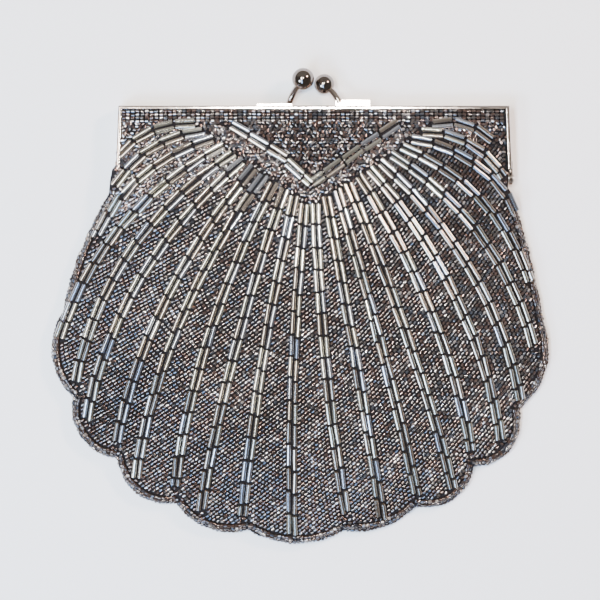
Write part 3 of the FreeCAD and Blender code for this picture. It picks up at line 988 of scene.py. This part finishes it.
def meander():
    """Seeds on a shaken grid, each turned by a slow noise."""
    pitch = MEANDER_PITCH
    beads = []
    rows = np.arange(30, ROWS_BOTTOM_Y, pitch * 0.87)
    for r, y0 in enumerate(rows):
        xs = np.arange(-70, 80, pitch) + (r % 2) * pitch / 2
        points = np.column_stack([xs, np.full(len(xs), y0)])
        points += np.array([[chance.gauss(0, 0.17), chance.gauss(0, 0.17)] for _ in xs])
        for x, y in points[above_the_rays(points)]:
            curl = noise.noise(Vector((x * CURL_SCALE, y * CURL_SCALE, 1.7))) * CURL
            grow = chance.uniform(0.9, 1.06)
            size = tuple(v * grow for v in MEANDER_SIZE)
            bead = bead_at(x, y, curl + chance.gauss(0, 0.2), size,
                           SEED_LIFT + chance.uniform(-0.05, 0.2), chance.gauss(0, 0.12))
            if bead:
                beads.append(bead)
    return beads


beads = meander()
seed_places += beads
piece = sew("meandering_seeds", SEED_BEAD, beads, SEED)
fold_with_frame(piece)
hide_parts("seed_beads_upper")
print("meandering seeds:", len(piece.data.vertices))

# %% Straight rows under the top bar
TOP_ROWS = 4
TOP_ROW_Y = 69.9
TOP_ROW_PITCH = 1.19
TOP_SEED = (1.6, 1.2, 1.2)
TOP_SEED_PITCH = 1.68
TOP_ROW_X = (-63.3, 74.0)


def top_rows():
    beads = []
    for row in range(TOP_ROWS):
        y = TOP_ROW_Y - row * TOP_ROW_PITCH
        for x in np.arange(*TOP_ROW_X, TOP_SEED_PITCH):
            bead = bead_at(x + chance.gauss(0, 0.08), y + chance.gauss(0, 0.06), chance.gauss(0, 0.08),
                           TOP_SEED, 0.6, chance.gauss(0, 0.08))
            if bead:
                beads.append(bead)
    return beads


beads = top_rows()
seed_places += beads
piece = sew("straight_top_rows", SEED_BEAD, beads, SEED)
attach(piece, "front_frame")
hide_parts("top_seed_rows")
print("top rows:", len(piece.data.vertices), "points")


# %% The first roll of the edge, which lies on the front
INNER_ROLL = 1.95
EDGE_PITCH = 1.45
EDGE_SEED_SIZE = (1.5, 1.3, 1.3)


def along_edge(inset):
    """Places for beads along the free edge, a little unevenly inside it: (x, y, heading)."""
    path = np.array(free_edge)
    for at in np.arange(0.4, path_length(path), EDGE_PITCH):
        x, y, heading = along_path(path, at)
        shift = inset + 0.5 * noise.noise(Vector((at * 0.22, inset * 3, 4.0)))
        yield x - math.sin(heading) * shift, y + math.cos(heading) * shift, heading


inner_roll = []
for x, y, heading in along_edge(INNER_ROLL):
    bead = bead_at(x, y, heading + chance.gauss(0, 0.35), EDGE_SEED_SIZE, 0.7, chance.gauss(0, 0.15))
    inner_roll += [bead] if bead else []
seed_places += inner_roll
print("inner roll:", len(inner_roll))


# %% Odd seeds that close what gaps are left
SEED_APART = 1.18
BUGLE_APART = 1.42
SEARCH_CELL = 1.5
SEARCH_STEP = 0.45
ODD_EDGE_CLEAR = 1.2


def odd_seeds():
    """Try a fine grid of places and keep each one that is clear of every bead so far."""
    taken = {}

    def take(x, y, apart):
        taken.setdefault((int(x // SEARCH_CELL), int(y // SEARCH_CELL)), []).append((x, y, apart))

    for place, _, _, _ in seed_places:
        take(place[0] / MM, place[1] / MM, SEED_APART)
    for x, y in bugle_axis:
        take(x, y, BUGLE_APART)
    grid = np.array([(x, y) for x in np.arange(-89, 90, SEARCH_STEP)
                     for y in np.arange(-86, ROWS_BOTTOM_Y, SEARCH_STEP)])
    grid = grid[inside_outline(grid)]
    grid = grid[distance_to_path(grid, closed_edge)[0] > ODD_EDGE_CLEAR]
    order = list(range(len(grid)))
    chance.shuffle(order)
    beads = []
    for index in order:
        x, y = (float(v) for v in grid[index])
        i, j = int(x // SEARCH_CELL), int(y // SEARCH_CELL)
        near = [t for di in (-1, 0, 1) for dj in (-1, 0, 1) for t in taken.get((i + di, j + dj), ())]
        if any(math.hypot(x - a, y - b) < apart for a, b, apart in near):
            continue
        grow = chance.uniform(0.88, 1.02)
        size = (1.4 * grow, SEED_WIDTH * grow, SEED_WIDTH * grow)
        bead = bead_at(x, y, chance.gauss(0.6, 0.6), size, 0.6)
        if bead:
            beads.append(bead)
            take(x, y, SEED_APART)
    return beads


beads = odd_seeds()
piece = sew("odd_seeds", SEED_BEAD, beads, SEED)
fold_with_frame(piece)
print("odd seeds:", len(beads))

# %% [markdown]
# ## Beaded edge and back
#
# A rolled edge of small brownish seeds closes the seam. Their finish is a darker copy of the
# seed glass: partly their own brown and partly painted shade, which keeps them from mirroring
# the bright floor. The back is covered in plain straight rows of the seeds that fill the front.


# %% Beaded edge
EDGE_ROLLS = ((0.9, 4.3), (0.1, 2.9), (0.6, 1.35))
SEAM_RADIUS = 1.05
SEAM_CENTRE_Z = 2.9
SEAM_PULL = 1.6


def edge_beads():
    """Seeds in three rolls, one over the other, along the free edge."""
    beads = []
    for inset, z in EDGE_ROLLS:
        for x, y, heading in along_edge(inset):
            turn = (chance.gauss(0, 0.3), chance.gauss(0, 0.2), heading + chance.gauss(0, 0.35))
            size = tuple(v * chance.uniform(0.9, 1.12) * MM for v in EDGE_SEED_SIZE)
            place = (x * MM, y * MM, (z + chance.gauss(0, 0.12)) * MM)
            beads.append((place, turn, size, chance.random()))
    return beads


def seam_roll():
    """The turned-in seam: a soft roll of cloth under the edge beads."""
    curve = bpy.data.curves.new("edge_roll", "CURVE")
    curve.dimensions = "3D"
    curve.bevel_depth = SEAM_RADIUS * MM
    curve.bevel_resolution = 2
    spline = curve.splines.new("POLY")
    path = free_edge[::2]
    spline.points.add(len(path) - 1)
    for point, (x, y) in zip(spline.points, path):
        pull = 1 - SEAM_PULL / math.hypot(x - POUCH_CENTRE[0], y - POUCH_CENTRE[1])
        inner_y = POUCH_CENTRE[1] + (y - POUCH_CENTRE[1]) * pull
        point.co = ((x * pull) * MM, inner_y * MM, SEAM_CENTRE_Z * MM, 1)
    curve.use_fill_caps = True
    maker = bpy.data.objects.new("edge_roll_curve", curve)
    bpy.context.scene.collection.objects.link(maker)
    mesh = bpy.data.meshes.new_from_object(maker.evaluated_get(bpy.context.evaluated_depsgraph_get()))
    bpy.data.objects.remove(maker)
    return link_piece("edge_roll", mesh, GROUND)


roll = seam_roll()
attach(roll, "bag")
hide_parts("edge_seam")
edging = sew("edge_beading", SEED_BEAD, edge_beads() + inner_roll, SHADED_EDGE_SEED)
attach(edging, "bag")
print("edge beads:", len(edging.data.vertices))

# %% Back rows
BACK_ROW_PITCH = 1.36
BACK_SEED_PITCH = 1.72
BACK_SEED_SIZE = (1.6 * MM, 1.3 * MM, 1.3 * MM)
BACK_SEED_Z = 0.72
back_array = np.array(back_outline)


def back_rows(y_low, y_high):
    """Straight rows over the part of the back between two heights."""
    beads = []
    for y in np.arange(y_low, y_high, BACK_ROW_PITCH):
        crossings = []
        for (ax, ay), (bx, by) in zip(back_array, np.roll(back_array, -1, axis=0)):
            if (ay > y) != (by > y):
                crossings.append(ax + (bx - ax) * (y - ay) / (by - ay))
        crossings.sort()
        for left, right in zip(crossings[::2], crossings[1::2]):
            for x in np.arange(left + 1.3, right - 1.2, BACK_SEED_PITCH):
                place = ((x + chance.gauss(0, 0.06)) * MM, (y + chance.gauss(0, 0.04)) * MM,
                         BACK_SEED_Z * MM)
                turn = (0, 0, chance.gauss(0, 0.06))
                beads.append((place, turn, BACK_SEED_SIZE, chance.random()))
    return beads


bands = np.linspace(-84.6, 70.0, 5)
for k, (low, high) in enumerate(zip(bands[:-1], bands[1:])):
    piece = sew(f"back_seed_rows_{k + 1}", PLAIN_SEED, back_rows(low, high), SEED)
    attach(piece, "bag")
    if k == 0:
        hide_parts("back_seed_beads")
    print(piece.name, len(piece.data.polygons), "faces")

# %% [markdown]
# ## What the cloths were cut from
#
# Every cloth layer is a sheet that was cut flat to the outline of the bag, so its flat size
# is the outline's width and height and its flat area is the outline's area.

def outline_area(points):
    a = np.array(points)
    b = np.roll(a, -1, axis=0)
    return abs(float((a[:, 0] * b[:, 1] - b[:, 0] * a[:, 1]).sum())) / 2 * MM * MM


def cut_size(points):
    a = np.array(points)
    return tuple(float(v) for v in (a.max(axis=0) - a.min(axis=0)) * MM)


fronts = ((front_cloth, "front_buckram"), (front_stiff, "front_satin_lining"),
          (front_satin, "back_satin_lining"))
backs = ((back_cloth, "back_seed_rows_1"), (back_stiff, "back_ground_cloth"),
         (back_satin, "back_buckram"))
for outline, held, layers in ((front_outline, "stretched", fronts), (back_outline, "laid", backs)):
    for thing, under in layers:
        cut_size(outline)
        outline_area(outline)
    print(held, [round(v, 4) for v in cut_size(outline)], round(outline_area(outline), 5), "square metres")

# %% [markdown]
# ## Metal parts
#
# The frame, rivets and clasp are the CAD nodes themselves, so only their finish changes.

# %% Finishes for the CAD nodes
FINISHES = {"back_frame_channel": NICKEL, "front_frame_channel": NICKEL, "left_hinge_rivet": RIVET_METAL,
            "right_hinge_rivet": RIVET_METAL, "back_clasp_base": NICKEL, "front_clasp_base": NICKEL,
            "back_clasp_ball": SHADED_BALL_NICKEL, "front_clasp_ball": SHADED_BALL_NICKEL,
            "back_channel_cord": PAPER, "front_channel_cord": PAPER}
for name, finish in FINISHES.items():
    node = nodes[name]
    for slot_index in range(len(node.material_slots)):
        node.material_slots[slot_index].material = finish
    if not node.material_slots:
        node.data.materials.append(finish)
print("finished:", len(FINISHES), "CAD nodes")

# %% Tidy the workshop
for template in templates:
    bpy.data.objects.remove(template)
front_sheet.free()
